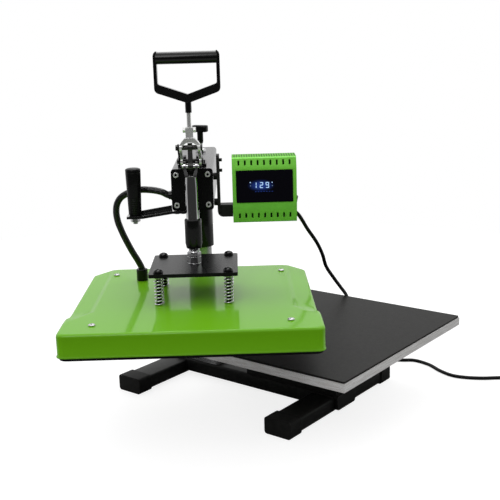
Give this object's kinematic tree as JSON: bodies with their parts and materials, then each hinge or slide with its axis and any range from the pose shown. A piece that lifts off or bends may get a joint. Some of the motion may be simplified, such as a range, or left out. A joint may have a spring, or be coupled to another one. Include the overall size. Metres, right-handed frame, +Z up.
{
  "type": "swing-away heat press",
  "caption": "Bench heat press: a square heated platen on a swinging head, pressed by a lever toggle onto a flat silicone-topped lower platen.",
  "frame": {"origin": "middle of the machine's box without its cord, on the table", "axes": "+Z up and out of the lower platen; -Y is the front; -X is the side that the head is swung to"},
  "size_m": [0.9451, 0.6852, 0.6359],
  "materials": {
    "frame_black": "satin black powder coat",
    "head_black": "semi-gloss black paint",
    "bolt_black": "black oxide",
    "cover_green": "glossy green paint",
    "foot_rubber": "matte moulded",
    "hose_rubber": "satin",
    "cord_rubber": "satin",
    "mat_silicone": "matte",
    "plug_plastic": "moulded",
    "grip_plastic": "moulded satin",
    "post_steel": "ground",
    "pin_steel": "zinc plated",
    "spring_steel": "zinc plated wire",
    "bright_chrome": "polished",
    "platen_aluminium": "milled",
    "platen_coating": "black heat-proof coating",
    "bush_brass": "turned",
    "board_fibre": "fibre board",
    "display_glass": "glossy dark panel"
  },
  "bodies": {
    "base": {"base_spine": "frame_black", "front_foot": "frame_black", "rear_foot": "frame_black", "foot_cap_front_left": "foot_rubber", "foot_cap_front_right": "foot_rubber", "foot_cap_rear_left": "foot_rubber", "foot_cap_rear_right": "foot_rubber", "spine_plug_front": "plug_plastic", "spine_plug_rear": "plug_plastic", "post": "post_steel", "platen_pedestal": "frame_black", "lower_platen": "platen_aluminium", "silicone_mat": "mat_silicone", "power_cord": "cord_rubber", "cord_coil": "cord_rubber", "power_plug": "plug_plastic"},
    "head": {"swing_sleeve": "head_black", "swing_bush": "bush_brass", "head_box": "head_black", "head_rear_plug": "plug_plastic", "head_front_plate": "head_black", "knob_screw": "bright_chrome", "toggle_bracket": "head_black", "guide_barrel": "head_black", "grip_bracket": "head_black", "grip_spindle": "pin_steel", "hose_gland": "bolt_black", "hose": "hose_rubber", "controller_bracket": "head_black", "controller_housing": "cover_green", "display_panel": "display_glass", "controller_rear_cover": "cover_green", "strain_relief": "hose_rubber"},
    "press_lever": {"lever_fork": "bright_chrome", "lever_pivot_pin": "pin_steel", "crank_pin": "pin_steel", "keeper_plate": "head_black", "rod_clamp_bolt": "pin_steel", "lever_rod": "bright_chrome", "lever_handle": "grip_plastic"},
    "toggle": {"toggle_link": "pin_steel"},
    "ram": {"plunger": "bright_chrome", "ram_nuts": "pin_steel", "spring_plate": "head_black", "spring_1": "spring_steel", "spring_2": "spring_steel", "spring_3": "spring_steel", "spring_4": "spring_steel"},
    "upper_platen": {"heat_platen": "platen_coating", "heating_element": "pin_steel", "insulation_board": "board_fibre", "platen_cover": "cover_green", "hose_collar": "bolt_black", "guide_bolt_1": "bolt_black", "guide_bolt_2": "bolt_black", "guide_bolt_3": "bolt_black", "guide_bolt_4": "bolt_black"},
    "knob": {"pressure_knob": "grip_plastic"},
    "grip": {"side_grip": "grip_plastic"},
    "switch": {"power_switch": "plug_plastic"}
  },
  "joints": [
    {"name": "head_swing", "type": "hinge", "parent": "base", "child": "head", "pos_m": [0.13706, 0.17854, 0.35], "axis": [0, 0, 1], "range_deg": [-43.8, 51.2], "deforming": ["power_cord"]},
    {"name": "lever_press", "type": "hinge", "parent": "head", "child": "press_lever", "pos_m": [-0.03869, 0.03724, 0.4565], "axis": [0.6266, -0.7793, 0], "range_deg": [0, 95]},
    {"name": "toggle_crank", "type": "hinge", "parent": "press_lever", "child": "toggle", "pos_m": [-0.05659, 0.02284, 0.48157], "axis": [0.6266, -0.7793, 0], "range_deg": [-95.1, 0.1]},
    {"name": "ram_slide", "type": "slide", "parent": "head", "child": "ram", "axis": [0, 0, -1], "range_m": [0, 0.05014], "deforming": ["hose"]},
    {"name": "platen_float", "type": "slide", "parent": "ram", "child": "upper_platen", "axis": [0, 0, 1], "range_m": [0, 0.008], "stiffness_N_per_m": 10000, "springref_m": -0.012, "deforming": ["spring_1", "spring_2", "spring_3", "spring_4"]},
    {"name": "pressure_turn", "type": "hinge", "parent": "head", "child": "knob", "pos_m": [0.14145, 0.17309, 0.475], "axis": [0, 0, 1], "continuous": true},
    {"name": "grip_turn", "type": "hinge", "parent": "head", "child": "grip", "pos_m": [-0.09617, 0.11753, 0.4], "axis": [0, 0, 1], "continuous": true},
    {"name": "switch_rock", "type": "hinge", "parent": "head", "child": "switch", "pos_m": [0.08181, -0.08787, 0.379], "axis": [-0.7793, -0.6266, 0], "range_deg": [0, 16]}
  ],
  "couplings": [
    {"joint": "toggle_crank", "follows": "lever_press", "ratio": -1},
    {"joint": "ram_slide", "follows": "lever_press", "m_per_rad": 0.030237}
  ]
}
